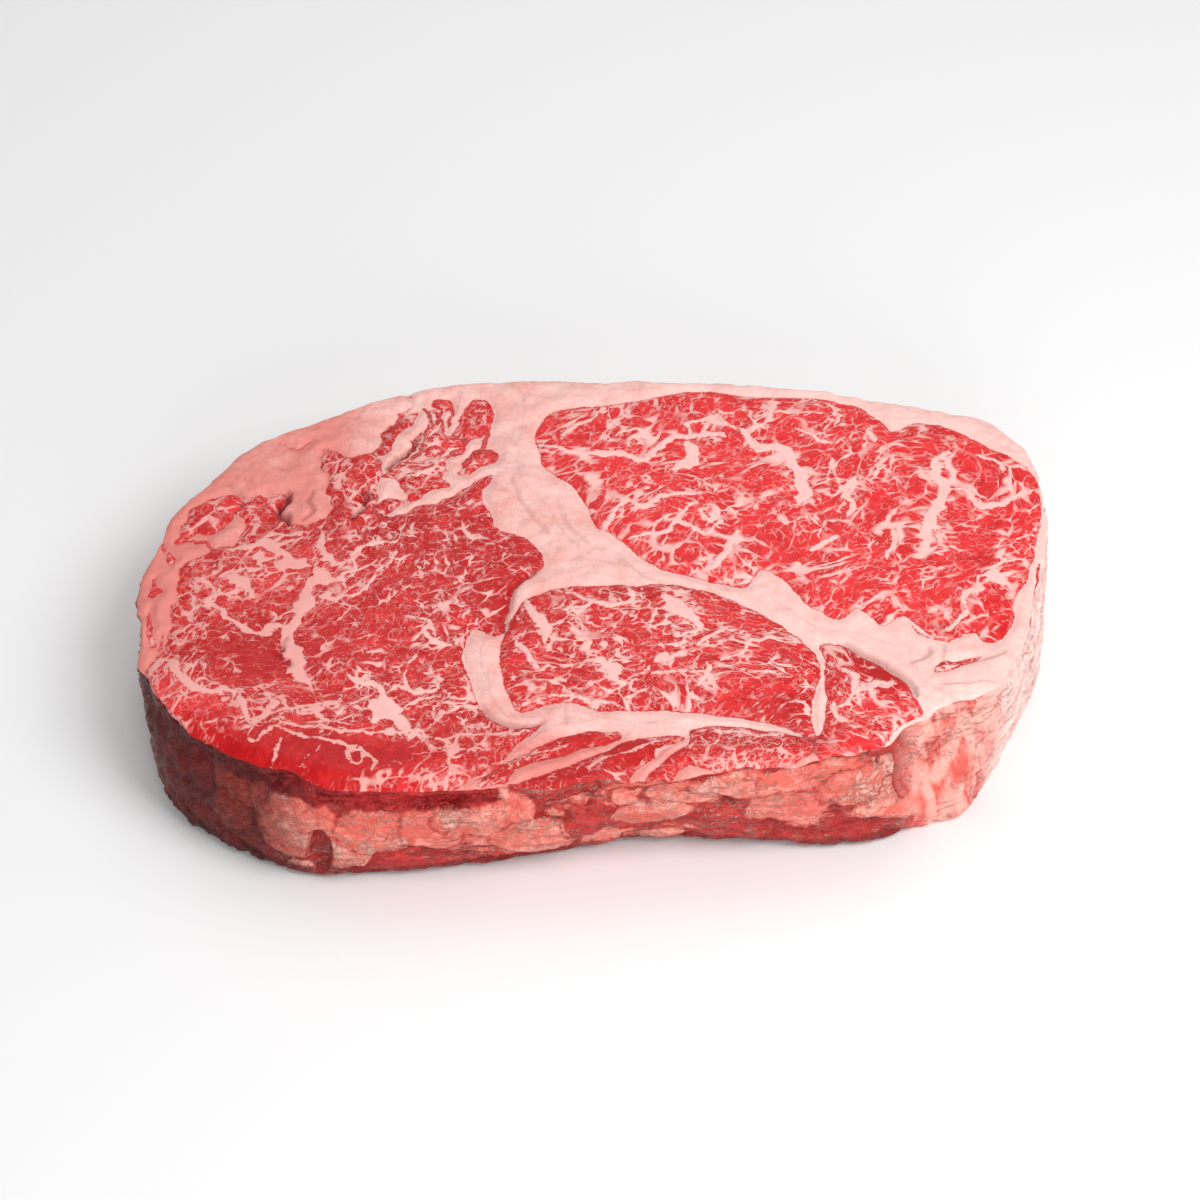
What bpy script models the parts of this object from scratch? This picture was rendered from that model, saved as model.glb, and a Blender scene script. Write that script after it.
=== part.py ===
# A raw beef rib-eye steak: one thick boneless slice lying flat on one of its two cut faces.
# Metres, +Z up, +X along the length. The origin is on the underside, below the middle of the slice.

import bmesh
import bpy
import numpy as np

# Driving dimensions, metres
LENGTH = 0.203              # longest way across, along X
WIDTH = 0.136               # across the slice, along Y
THICKNESS = 0.028           # from the underside to the highest swell of the upper cut face
SWELL = 0.0008              # how far the muscles rise above the upper edge
BELLY = 0.0010              # how far the side bulges out halfway up
LEAN_POWER = 1.3            # above 1, most of the side's lean is in its lower half
FOOT_RADIUS = 0.0025        # rounding where the side turns under the slice
EDGE_RADIUS = 0.0015        # rounding of the upper edge

# Fineness of the mesh
STATIONS = 150              # points round every ring
FOOT_STEPS = 3              # rings up the rounding of the foot
SIDE_STEPS = 5              # rings up the side
EDGE_STEPS = 3              # rings over the upper edge
FACE_STEPS = 9              # rings across the upper cut face
CORE = 0.05                 # size of the innermost ring, as a share of the outline

# The upper edge seen from above, anticlockwise from the right-hand end. Each row holds x and y of
# the edge, then how far the foot of the side lies from it in x and y, all in millimetres.
OUTLINE_MM = (
    (97.0, 2, 2, 0), (99.5, 16, 0.5, 0), (101, 29, -1.5, 0), (98.0, 43, -2, -1),
    (88.0, 54, -2, -2), (72, 59.2, -1, -3), (52, 65, 0, -3), (24, 68.1, 0, -3), (-6, 68.5, 0, -3),
    (-34, 67.8, 0, -3), (-50.5, 63, 1, -3), (-67.5, 53.5, 1.5, -2.5), (-81, 44.5, 1.5, -2),
    (-88.5, 33, 1.5, -1), (-96, 22, 1.5, 0), (-101, 4, 1, 0), (-101, -15, 1, 0),
    (-98.8, -31, 2, 0), (-93, -43.5, 0.2, -3.4), (-81, -53, 1, -5.4), (-66, -61.5, 1.5, -4.4),
    (-51, -66.4, 0, 0.2), (-35, -66.6, 0, 2.6), (-15, -66, 0, 5), (6, -63.6, 0, 7.6),
    (28, -61, 0, 5), (47, -57.6, 0, 0.2), (60, -51.5, 0, -4), (68.5, -43, -0.5, -9.8),
    (76.5, -38.8, 0.3, -11.4), (81.5, -37, -1.5, -7.5), (86, -34, -1, -1.6), (91, -23, -0.4, 0),
    (94.2, -10, 2.4, 0),
)

# The three muscles that bulge out of the upper cut face: x, y, half length, half width
# in millimetres, and how high each one stands as a share of SWELL.
MUSCLES_MM = (
    (46, 22, 50, 38, 1.0),      # the long eye muscle
    (-58, -4, 42, 46, 0.9),     # the cap muscle
    (12, -26, 34, 20, 0.6),     # the middle muscle
)

MILLIMETRE = 0.001
MEAT_RED = (0.62, 0.16, 0.13)    # raw meat between its fat, as linear colour


def clear_scene():
    for item in list(bpy.data.objects):
        bpy.data.objects.remove(item, do_unlink=True)


def closed_curve(rows, count):
    """A smooth closed curve through the rows, read at equal steps along its length."""
    before, after, beyond = np.roll(rows, 1, 0), np.roll(rows, -1, 0), np.roll(rows, -2, 0)
    t = np.linspace(0, 1, 24, endpoint=False)[None, :, None]
    start, end = rows[:, None], after[:, None]
    leave, arrive = (after - before)[:, None] / 2, (beyond - rows)[:, None] / 2
    fine = (start * (2 * t**3 - 3 * t**2 + 1) + leave * (t**3 - 2 * t**2 + t)
            + end * (3 * t**2 - 2 * t**3) + arrive * (t**3 - t**2)).reshape(-1, rows.shape[1])
    loop = np.vstack([fine, fine[:1]])
    travelled = np.append(0, np.cumsum(np.linalg.norm(np.diff(loop[:, :2], axis=0), axis=1)))
    wanted = np.linspace(0, travelled[-1], count, endpoint=False)
    return np.column_stack([np.interp(wanted, travelled, column) for column in loop.T])


def outward_normals(curve):
    along = np.roll(curve, -1, 0) - np.roll(curve, 1, 0)
    normals = np.column_stack([along[:, 1], -along[:, 0]])
    return normals / np.linalg.norm(normals, axis=1, keepdims=True)


def side_profile(rim_height):
    """Rows of height and outward offset, from the flat of the underside over the upper edge."""
    turn = np.linspace(0, np.pi / 2, FOOT_STEPS + 1)
    foot = [(FOOT_RADIUS * (1 - np.cos(a)), -FOOT_RADIUS * (1 - np.sin(a))) for a in turn]
    side = [(z, 0.0) for z in
            np.linspace(FOOT_RADIUS, rim_height - EDGE_RADIUS, SIDE_STEPS + 1)[1:-1]]
    turn = np.linspace(0, np.pi / 2, EDGE_STEPS + 1)
    edge = [(rim_height - EDGE_RADIUS * (1 - np.sin(a)), -EDGE_RADIUS * (1 - np.cos(a)))
            for a in turn]
    return foot + side + edge


def muscle_swell(points):
    """Height of the cut face above the upper edge, highest where a muscle bulges."""
    height = np.zeros(len(points))
    for x, y, half_length, half_width, share in MUSCLES_MM:
        away = np.hypot((points[:, 0] / MILLIMETRE - x) / half_length,
                        (points[:, 1] / MILLIMETRE - y) / half_width)
        height = np.maximum(height, share * np.clip(1 - away**2, 0, 1))
    return SWELL * height


def slice_rings():
    """Every ring of the solid, from the flat of the underside to the middle of the upper face."""
    rows = closed_curve(np.array(OUTLINE_MM, dtype=float), STATIONS) * MILLIMETRE
    outline, lean = rows[:, :2], rows[:, 2:]
    normals = outward_normals(outline)
    rim_height = THICKNESS - SWELL
    rings = []
    for height, offset in side_profile(rim_height):
        share = height / rim_height
        bulge = BELLY * np.sin(np.pi * share)
        ring = outline + lean * (1 - share) ** LEAN_POWER + normals * (bulge + offset)
        rings.append(np.column_stack([ring, np.full(STATIONS, height)]))
    edge = rings[-1][:, :2]
    for size in np.linspace(1, CORE, FACE_STEPS + 1)[1:]:
        ring = edge * size
        fade = 1 - size**6
        rings.append(np.column_stack([ring, rim_height + muscle_swell(ring) * fade]))
    return rings


def fit_to_size(rings):
    """Centres the rings on the origin and brings them to the driving dimensions."""
    points = np.vstack(rings)
    low, high = points.min(0), points.max(0)
    middle = np.array([(low[0] + high[0]) / 2, (low[1] + high[1]) / 2, low[2]])
    scale = np.array([LENGTH, WIDTH, THICKNESS]) / (high - low)
    return [(ring - middle) * scale for ring in rings]


def loft(rings):
    """Bridges the rings into one closed skin and fills its first and last ring."""
    mesh = bmesh.new()
    loops = []
    for ring in rings:
        verts = [mesh.verts.new(point) for point in ring]
        loops.append([mesh.edges.new((verts[i - 1], verts[i])) for i in range(len(verts))])
    for lower, upper in zip(loops, loops[1:]):
        bmesh.ops.bridge_loops(mesh, edges=lower + upper)
    for end in (loops[0], loops[-1]):
        bmesh.ops.contextual_create(mesh, geom=end)
    bmesh.ops.triangulate(mesh, faces=mesh.faces[:])
    bmesh.ops.recalc_face_normals(mesh, faces=mesh.faces[:])
    return mesh


def meat_material():
    material = bpy.data.materials.new("raw_meat")
    material.use_nodes = True
    shader = material.node_tree.nodes["Principled BSDF"]
    shader.inputs["Base Color"].default_value = (*MEAT_RED, 1)
    shader.inputs["Roughness"].default_value = 0.42
    shader.inputs["Metallic"].default_value = 0.0
    return material


def add_steak():
    solid = loft(fit_to_size(slice_rings()))
    mesh = bpy.data.meshes.new("steak")
    solid.to_mesh(mesh)
    solid.free()
    mesh.shade_smooth()
    mesh.set_sharp_from_angle(angle=np.radians(50))
    mesh.materials.append(meat_material())
    steak = bpy.data.objects.new("steak", mesh)
    bpy.context.scene.collection.objects.link(steak)


clear_scene()
add_steak()
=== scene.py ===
# A raw, well marbled rib-eye steak lying on a pale table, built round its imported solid.
import itertools
import math

import bpy
import numpy as np
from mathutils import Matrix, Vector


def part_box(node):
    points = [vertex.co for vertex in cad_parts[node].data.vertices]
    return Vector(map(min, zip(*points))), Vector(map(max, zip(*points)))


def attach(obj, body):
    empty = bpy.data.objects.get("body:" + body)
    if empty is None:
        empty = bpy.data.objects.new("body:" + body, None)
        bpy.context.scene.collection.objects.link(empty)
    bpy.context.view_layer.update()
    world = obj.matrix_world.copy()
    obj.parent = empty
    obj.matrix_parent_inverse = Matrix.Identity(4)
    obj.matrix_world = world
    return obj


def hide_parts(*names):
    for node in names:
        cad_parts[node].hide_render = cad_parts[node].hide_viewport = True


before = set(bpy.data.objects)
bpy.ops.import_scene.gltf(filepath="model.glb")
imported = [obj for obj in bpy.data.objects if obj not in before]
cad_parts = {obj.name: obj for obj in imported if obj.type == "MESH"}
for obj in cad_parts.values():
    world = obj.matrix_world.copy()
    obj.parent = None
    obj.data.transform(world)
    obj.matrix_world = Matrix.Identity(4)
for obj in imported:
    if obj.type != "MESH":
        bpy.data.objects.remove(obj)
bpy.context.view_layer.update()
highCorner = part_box("steak")[1]
mm = 0.001
print("frame loaded")


sliceShape = {
    "rimRadius": 1.5 * mm,          # rounding of the upper edge, as on the solid
    "lipTurn": 60,                  # degrees round that edge where the cut face ends
    "columnsAcross": 372,           # grid of the cut face
    "columnsDeep": 250,
    "sideRows": 72,                 # rows down the side
    "footInset": 3.5 * mm,          # where the side has turned under
    "footRadius": 2.5 * mm,         # rounding of the lower edge
}

cutFace = {
    "swell": 0.8 * mm,              # height of the muscles over the rim
    "seamGroove": 0.35 * mm,        # groove where lean meets seam fat
    "seamWaves": 0.45 * mm,         # soft waves of the seam fat
    "handCut": 0.45 * mm,           # unevenness left by the knife
    "creaseDepth": 1.4 * mm,
}

sideWall = {
    "lumps": 1.6 * mm,              # fat lobes standing out of the side
    "lobes": (9.0, 1.0 * mm),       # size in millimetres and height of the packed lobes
    "lobules": (3.2, 0.24 * mm),    # the same for the small crumbs of fat on them
    "folds": 0.7 * mm,              # folds of the membrane
    "underRim": 1.1 * mm,           # shallow channel below the rim
    "grain": 0.14 * mm,
    "rimWaves": 1.1 * mm,           # unevenness of the rim
    "rimDroop": 0.9 * mm,           # how far the cut face sinks towards the rim
}

# Screen colours from 0 to 255: shared by all tissue, then the cut face, then the side.
tissueColours = {
    "leanPale": (238, 42, 46),
    "leanDeep": (184, 0, 4),
    "fatPink": (230, 134, 124),
    "fatCream": (251, 207, 199),
}
faceColours = {
    "haze": (246, 132, 128),
    "vein": (250, 190, 184),
    # painted shade along each muscle's border
    "borderShadeLine": (196, 44, 46),
    # painted shade in the slits and folds of the face
    "crease": (112, 12, 14),
}
sideColours = {
    "leanPale": (222, 58, 52),
    "leanDeep": (124, 2, 5),
    "fatPink": (226, 102, 88),
    "fatCream": (253, 184, 168),
    "strand": (206, 66, 58),
    "thread": (248, 196, 182),
    "fanRed": (218, 78, 70),
    "fanPale": (252, 182, 168),
    # cracks: red meat darkened as painted shade
    "crack": (156, 22, 20),
    # painted shade in the creases between small lobules
    "seam": (198, 50, 42),
    "crumb": (255, 200, 184),
    # band under the rim: real lean, darkened partly as painted shade
    "bandPale": (216, 48, 48),
    "bandDeep": (146, 8, 12),
    # painted shade along the foot
    "foot": (126, 12, 12),
    "filmPink": (244, 176, 166),
    "filmPale": (255, 226, 218),
    "filmLine": (214, 70, 64),
    # the left end's brown: partly dried meat, partly painted shade
    "driedAndShade": (142, 72, 56),
}

studio = {
    "world": 0.38,
    "floor": 0.93,
    # where each light is, what it points at, its width in metres and its power in watts
    "lights": {
        "key": ((0.42, -0.30, 0.66), (0, 0, 0), 0.5, 4.1),
        "top": ((-0.05, 0.45, 0.75), (0, 0, 0), 0.7, 1.7),
        "front": ((0.10, -0.85, 0.24), (0, 0, 0.01), 0.5, 3.0),
    },
}

cameraView = {
    "target": (-0.0005, 0.0046, 0.014),
    "distance": 0.6735,
    "elevation": 42,                # degrees above the floor
    "lens": 90,
}

# Muscles on the cut face: outline in millimetres (x right, y back), direction of the grain in
# degrees, how deep the red is (0 pale pink, 1 deep red) and how coarse the marbling is.
muscles = {
    "eye": {
        "outline": [
            (-15.5, 48), (-13, 54), (-7, 57.5), (2, 58.7), (10, 60.5), (19, 63.4), (27, 63.6), (36, 61.6),
            (50, 60.8), (59, 58.5), (64.5, 53.5), (67.5, 48.5), (73, 51.8), (81, 49.8), (90, 42),
            (97, 36.5),
            (99.3, 29), (98.7, 19), (96.5, 8), (93.5, -2), (90, -10), (88.5, -18), (85.5, -23), (81.5, -23),
            (79.5, -20), (74, -23.2), (70, -20), (65.5, -14.5), (61.5, -18), (58.5, -16), (55.3, -12.6),
            (52.8, -15.8), (49.2, -15.4), (43.5, -9.5), (40, -4), (35.5, 0.4), (33, -4), (30.2, -6.3),
            (22.5, -3.5), (13, 0.5), (7, 6), (1.5, 13), (-1.5, 15), (-4.7, 25), (-9, 31), (-13.5, 36.5),
            (-14.8, 43)],
        "grain": 38, "depth": 0.30, "coarse": 1.15},
    "middle": {
        "outline": [
            (-14, -8), (-8, -5.7), (2, -4.7), (8, -5.7), (13, -4.4), (22.5, -7), (30, -11.5), (38.5, -18),
            (43.5, -24), (46.3, -30), (45.5, -37), (43.5, -44), (44.5, -53.5), (41, -51.2), (35, -48.2),
            (24, -45.6), (7.5, -44.2), (0, -44.6), (-5, -42.6), (-10, -42.4), (-17, -45.2), (-20, -40),
            (-21.8, -31), (-21.9, -25),
            (-20.3, -18), (-17.5, -11)],
        "grain": -8, "depth": 0.55, "coarse": 0.85},
    "small": {
        "outline": [
            (46.8, -24.5), (51, -24.2), (55.5, -27), (60.5, -31.2), (64.2, -35.5), (65.4, -40), (67, -43.5),
            (65.5, -46), (60, -51.5), (56, -55), (50, -58), (45, -59), (43.8, -54), (46, -50), (47, -43),
            (46.8, -35), (47.6, -29)],
        "grain": -35, "depth": 0.55, "coarse": 0.9},
    "cap": {
        "outline": [
            (-20, 12.5), (-17, 11), (-14.3, 8), (-12.7, 1.5), (-14.7, -1), (-18.5, -4.5), (-20.4, -10),
            (-20.7, -16), (-22.5, -21.5), (-28.5, -20), (-29.8, -27), (-29.5, -32), (-27.5, -37),
            (-26.5, -42),
            (-23, -47), (-17.5, -49.2), (-12.5, -48.2), (-15, -51.5), (-18, -55), (-20, -59), (-21, -63),
            (-27, -65), (-34, -70), (-44, -70.5), (-52, -69.5), (-62, -67), (-72, -62.5), (-80, -57),
            (-88, -51),
            (-95, -44), (-99, -36), (-97, -31), (-93.5, -25), (-93, -15), (-93.5, -6), (-92, 2), (-88.5, 4),
            (-85, 8.5), (-82, 9.5), (-80, 15), (-81.5, 20), (-79, 24), (-74, 26.5), (-72.5, 24),
            (-71.8, 17),
            (-68, 16), (-62.5, 18.5), (-61.8, 24), (-62.7, 33), (-63.6, 42), (-59, 39.5), (-54, 41.5),
            (-51, 40), (-51, 32), (-52, 26), (-50, 20), (-47, 17.5), (-42, 21.5), (-36, 23.5), (-31, 27),
            (-28, 31), (-25, 33), (-25.5, 30), (-27.5, 25), (-25, 18.5), (-23, 13.8)],
        "grain": 48, "depth": 0.70, "coarse": 0.78},
    "bundleOne": {
        "outline": [(-51, 42.5), (-50, 50), (-46.5, 54), (-43.5, 56.5), (-44, 53), (-47, 48.5), (-48, 43),
                    (-49.5, 40.5)],
        "grain": 62, "depth": 0.9, "coarse": 0.8},
    "bundleTwo": {
        "outline": [(-46, 40), (-44.5, 45), (-42.5, 49), (-41.5, 49.5), (-41.5, 47), (-43.5, 43),
                    (-45.5, 39.5), (-48.5, 35.5), (-49, 36)],
        "grain": 60, "depth": 1.0, "coarse": 0.7},
    "bundleThree": {
        "outline": [(-41.5, 40.5), (-41, 44), (-39, 47), (-37, 48.5), (-34, 47), (-31.5, 44.5), (-34, 42.5),
                    (-37, 43.5), (-39, 40)],
        "grain": 50, "depth": 0.6, "coarse": 0.7},
    "bundleFour": {
        "outline": [(-51, 32), (-47, 36.5), (-41, 38.5), (-37, 39), (-35, 36), (-36, 31.5), (-34.5, 28.5),
                    (-39, 27), (-44, 23.5), (-45.5, 27), (-48, 31)],
        "grain": 42, "depth": 0.7, "coarse": 0.85},
    "bundleFive": {
        "outline": [(-33, 36), (-31, 41), (-27, 42.5), (-24.5, 41), (-24.5, 38), (-27, 36.5), (-30, 33.5),
                    (-32, 33)],
        "grain": 55, "depth": 0.7, "coarse": 0.8},
    "bundleSix": {
        "outline": [(-51.5, 20.5), (-50, 24), (-47, 25.5), (-45.3, 24), (-46, 20.5), (-49, 18.5)],
        "grain": 60, "depth": 0.7, "coarse": 0.8},
    "topSpot": {
        "outline": [(-41, 58), (-41, 61.5), (-37.5, 61), (-35, 58), (-36, 55.5), (-38.5, 56)],
        "grain": 60, "depth": 0.5, "coarse": 0.8},
    "corner": {
        "outline": [
            (-95.5, 12), (-93, 18), (-91, 22.5), (-87, 24.5), (-83, 25), (-80, 23), (-82, 19), (-84, 15),
            (-88, 13), (-91, 11), (-94, 9)],
        "grain": 35, "depth": 0.6, "coarse": 1.0},
    "sliver": {
        "outline": [(-32.5, 46), (-28, 47), (-25.5, 52), (-25.8, 58), (-28, 60.8), (-31, 59.5), (-32, 53)],
        "grain": 75, "depth": 0.6, "coarse": 0.8},
    "strandOne": {
        "outline": [(-15, -57), (-13, -54.5), (-8, -52.5), (-3, -50.8), (3, -50.5), (3.5, -53), (-1, -54.8),
                    (-5, -56), (-9, -58.5), (-14, -60), (-18, -62), (-20, -66), (-26, -66), (-18, -58.5)],
        "grain": 26, "depth": 0.75, "coarse": 0.6},
    "strandTwo": {
        "outline": [(0.5, -56.5), (4, -53.8), (9, -52.5), (14, -51.3), (17, -52.5), (13.5, -55.5),
                    (10, -59),
                    (6, -63), (5, -67), (-12, -69), (-21, -69), (-16, -64.5), (-9, -61.5), (-3, -58.3)],
        "grain": 32, "depth": 0.85, "coarse": 0.6},
    "strandThree": {
        "outline": [(18, -50), (23, -48.7), (31, -49.5), (38, -51), (44.5, -54), (42, -58), (36, -61),
                    (27, -63), (22, -61.5), (18, -60.5), (14, -63), (12, -66), (8, -66), (12, -59.5),
                    (17.5, -55)],
        "grain": -14, "depth": 0.7, "coarse": 0.6},
    "wedge": {
        "outline": [(70.5, -32.3), (73, -28.5), (75.5, -29.2), (81, -27.8), (76.5, -30.7)],
        "grain": 20, "depth": 0.6, "coarse": 0.5},
}

fleckLength = 0.78              # below 1, flecks are drawn out along the grain

# Thin strands of lean that run through the fat: width in millimetres, then the way they run.
leanStrands = [
    (1.6, [(-97.5, 8), (-96.5, 4), (-95.5, 1)]), (1.1, [(-98.3, -3), (-97.6, -9)]),
    (1.7, [(-98.6, -13), (-98, -19), (-96, -24)]), (1.0, [(-94.5, -20), (-94.6, -27)]),
    (1.2, [(-40.5, 56), (-37, 52.5), (-36.5, 48)]), (0.9, [(-36, 60.5), (-34.5, 55), (-35, 50)]),
    (1.2, [(-46, 63), (-44, 61)]), (0.6, [(66.3, -16.3), (68.5, -20), (71.5, -22.5)]),
    (0.8, [(96.6, 3), (95, -8), (92.8, -17)]), (0.7, [(-76, 44), (-72, 43), (-68, 43.5)]),
    (1.5, [(-47, 35), (-42, 43), (-38.5, 51), (-37, 58)]),
    (1.6, [(-44, 33), (-38, 40), (-33.5, 48), (-31, 57)]),
    (1.3, [(-52, 42), (-49, 51), (-45, 58)]), (1.5, [(-38, 36), (-33, 42), (-29, 49)]),
    (1.3, [(-31, 34), (-27.5, 42), (-26.5, 53)]), (1.2, [(-46, 28), (-41, 32), (-35, 34.5)]),
    (1.0, [(-41, 46), (-40, 52), (-42, 57)]), (1.1, [(-86, 5), (-89, 9), (-92, 10)]),
]

# Where the marbling or the red changes: x, y, half width, half depth in millimetres, how much
# more fat shows (below nought, less) and how much deeper the red is.
patches = [
    (-75, -28, 13, 9, -0.08, 0.35), (-66, -58, 18, 6, -0.30, 0.20), (-46, -60, 14, 5, -0.20, 0.10),
    (-21, -8, 7, 13, -0.05, 0.30), (-38, 10, 16, 7, -0.03, 0.25), (-88, -40, 12, 7, 0.05, -0.30),
    (-71, -2, 12, 8, 0.06, -0.20), (-43, 36, 9, 12, 0.05, -0.10), (-88, -10, 5, 14, 0.04, -0.10),
    (-12, -64, 12, 4, -0.15, 0.40), (60, -33, 6, 5, -0.16, 0.55), (8, -58, 8, 4, -0.20, 0.0),
    (38, -44, 7, 5, -0.08, 0.25), (84, -15, 8, 9, -0.01, 0.1), (-48, -18, 20, 22, -0.015, 0.0),
    (57, -46, 10, 6, 0.05, -0.25),
    (-34, -63.5, 13, 3.5, 0.13, -0.30), (-96, -20, 4, 30, 0.10, -0.30),
    (-6, -54, 9, 4, -0.15, 0.0), (30, -54, 12, 3, 0.03, 0.0), (30, -60.5, 14, 2.5, 0.14, -0.3),
    (-10, -66, 14, 2, 0.06, 0.0), (-79, 15, 6, 10, 0.03, -0.10),
]

# Veins of fat through the lean: width in millimetres, then the way they run.
veins = [
    # eye muscle
    (2.0, [(-14, 43.5), (-7.5, 41), (4, 39.5), (8, 38), (12, 40), (15, 44), (21, 45.5), (29, 46)]),
    (1.3, [(6.5, 41.5), (7, 45), (10, 46.5), (12.5, 44)]),
    (1.4, [(-9.5, 45), (-5, 51.5), (1.5, 56.5)]),
    (1.1, [(3, 46), (5, 48), (9, 47.5), (12.5, 45.5)]),
    (1.5, [(20.5, 46.5), (20.5, 50), (24.5, 52), (28, 53.5)]), (1.2, [(24.5, 52), (30, 50)]),
    (3.4, [(20, 43), (20.5, 38), (17, 33.5)]),
    (3.2, [(33, 48.5), (36, 42), (42, 41), (44, 34), (46, 28), (44.5, 21)]),
    (1.3, [(30, 49), (36, 49), (39.5, 55.5), (40.5, 59)]), (1.2, [(40, 55), (46.5, 55), (51, 54.5)]),
    (1.2, [(44.5, 49), (49, 47), (50.5, 44.5), (56, 44.5)]), (1.0, [(53, 58), (54.5, 53.5)]),
    (1.5, [(62, 48.5), (62.5, 44)]),
    (2.8, [(78.5, 39), (77, 35), (76.5, 31), (77.5, 26.5), (74.5, 19), (74, 15), (72, 7), (71, 3.5)]),
    (1.8, [(78, 26.5), (83, 25.5), (85.5, 21), (92.5, 23), (98, 28)]),
    (1.6, [(86, 39), (91.5, 36.5), (91.5, 33.5)]),
    (1.8, [(58, 32), (54.5, 26), (56, 22), (55.5, 17.5)]), (1.3, [(61, 32), (64, 34.5)]),
    (1.5, [(64, 12.5), (64.5, 7.5), (63, 3.5)]), (1.7, [(52, 10), (46, 6)]),
    (1.5, [(0, 12.5), (3.5, 20), (5, 23.5), (9.5, 21), (15, 24), (23, 25)]),
    (1.3, [(21.5, 22), (17.5, 16), (22.5, 11.5), (26.5, 15.5)]), (1.9, [(31, 12.5), (27, 5), (23.5, 0)]),
    (1.3, [(5, 10), (13, 11.5), (17.5, 16)]), (3.0, [(85.5, -2), (89.5, -5)]),
    (1.4, [(89, 2), (82.5, -3.5), (82, -8), (78, -9.5), (78.5, -14), (74, -19.5)]),
    # middle muscle
    (1.9, [(-16.8, -8.5), (-15.2, -14), (-12.5, -20), (-11, -26)]), (2.2, [(-4.5, -26), (-3.2, -25)]),
    (1.4, [(0, -26.5), (0.4, -24)]), (0.9,
                                      [(-16.5, -43.5), (-12, -41), (-6, -40.4), (-1, -42.2), (5, -42.8)]),
    (1.2, [(-9, -8), (-3, -11), (-8, -14.5)]), (1.5, [(-3, -11), (2, -12.5), (6, -10.5), (6, -7.5)]),
    (0.9, [(-8, -14.5), (-5, -18), (-4.5, -21)]), (1.3, [(-18.5, -24), (-17, -28), (-14.5, -33)]),
    (1.2, [(20, -24.8), (23.5, -22.5), (28, -19.5)]),
    (1.4, [(24.5, -30.5), (30, -27.5), (33, -23.6), (40, -23.4)]),
    (1.1, [(21.6, -31), (22, -35), (20, -39)]), (0.8, [(30, -33.5), (38, -34.5)]),
    (0.8, [(8, -33.8), (16, -34), (22, -33.6)]),
    (2.0, [(12, -30.6), (14, -28.8)]), (0.8, [(10, -25.5), (18, -25)]),
    (1.5, [(18.6, -39.8), (20.4, -42.8)]),
    (2.4, [(-3.5, -30.5), (0.5, -30.6), (2.4, -33), (2.6, -35.5), (4.8, -37)]),
    (3.0, [(13.5, -9), (15.5, -12), (19, -15.5), (21, -19)]), (1.6, [(21, -19), (18, -21.5)]),
    # small muscle
    (1.2, [(50, -31), (53, -35), (53, -40)]), (1.3, [(53, -40), (57, -37), (61.5, -37)]),
    (0.9, [(49, -45), (53, -40)]),
    # cap muscle
    (3.5, [(-62.5, 0), (-61.5, -4), (-64, -12), (-66.5, -21), (-65.5, -29), (-63, -37)]),
    (2.4, [(-85, -11.5), (-79.5, -19), (-72.5, -21), (-66.5, -18)]),
    (2.8, [(-53.5, -35), (-47.5, -38.5), (-45.5, -45), (-44.5, -48), (-38, -53.5)]),
    (1.0, [(-41, -27), (-41.5, -36), (-38.5, -40), (-35, -36.5)]), (1.0, [(-35, -40.5), (-44, -47)]),
    (1.8, [(-40, -15), (-37, -18), (-38.7, -20), (-38, -23), (-33.5, -25)]),
    (2.0, [(-61, -1.5), (-58.5, -5), (-54.5, 3)]), (1.5, [(-60, -10), (-55, -9), (-49, -1.5), (-47, 2)]),
    (0.9, [(-62.5, -45), (-58.5, -45), (-55.5, -42.5), (-50, -45.5)]), (4.6, [(-79.5, -4), (-76, -8)]),
    (1.4, [(-37, 36), (-41, 32.5), (-45, 31.5)]), (1.6, [(-61, 31.5), (-57.5, 32)]),
    (1.3, [(-58, 29), (-56, 25), (-57, 20)]),
    (1.2, [(-86, -30), (-87, -35), (-83, -39.5), (-76.5, -39.5)]),
    (1.5, [(-76.5, -40), (-75, -45), (-74, -50)]),
    (2.6, [(-66, 11), (-72, 12.5), (-74.5, 9)]), (2.2, [(-61, 12), (-62.5, 6), (-61, 1)]),
    (1.6, [(-55, 3), (-54, 7), (-49, 9), (-46, 9.5)]), (2.6, [(-70.5, 5), (-69, 1), (-66, 2)]),
    (2.4, [(-84, 6), (-76, 8), (-70, 4), (-64, 1)]), (1.6, [(-90, -3), (-85, -7), (-85, -12)]),
    (2.6, [(-96, -28), (-91, -31), (-88.5, -36), (-84, -38.5), (-78, -40)]),
    (1.3, [(-71, -41), (-70.5, -46), (-73, -50)]),
    (1.1, [(-78, -48.5), (-70, -49), (-62, -50.2), (-54, -50.5), (-48, -51.5), (-40, -52.5)]),
    (1.0, [(-74, -53), (-66, -52), (-60, -54), (-52, -57), (-48, -61), (-46, -64)]),
    (0.7, [(-66, -55), (-68.5, -60)]),
    (0.7, [(-38, -55), (-30, -56.5), (-24, -56)]), (0.9, [(-39, -52), (-33, -54), (-31, -57)]),
    (0.6, [(-59, -57), (-62, -61)]),
    (1.0, [(-73, -41), (-66, -42), (-62, -45)]), (1.1, [(-24, -43), (-31, -45), (-36, -50)]),
    (0.9, [(-30, -52), (-22, -51.5), (-16, -50.5)]), (0.9, [(-52, -50), (-44, -52), (-37, -54.5)]),
    # thin strands near the front
    (0.7, [(-23, -60.5), (-14, -57.5), (-7, -54.6)]), (0.7, [(-4, -61.5), (3, -58.5), (9, -55.8)]),
    (1.2, [(9, -60.5), (13, -57), (16.5, -54.5)]), (0.7, [(-9, -59), (-5, -57), (-1, -55.6)]),
    (0.7, [(5, -57.5), (9, -55), (13, -53.6)]), (1.0, [(24, -51), (32, -51.6), (38, -53)]),
]
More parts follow.
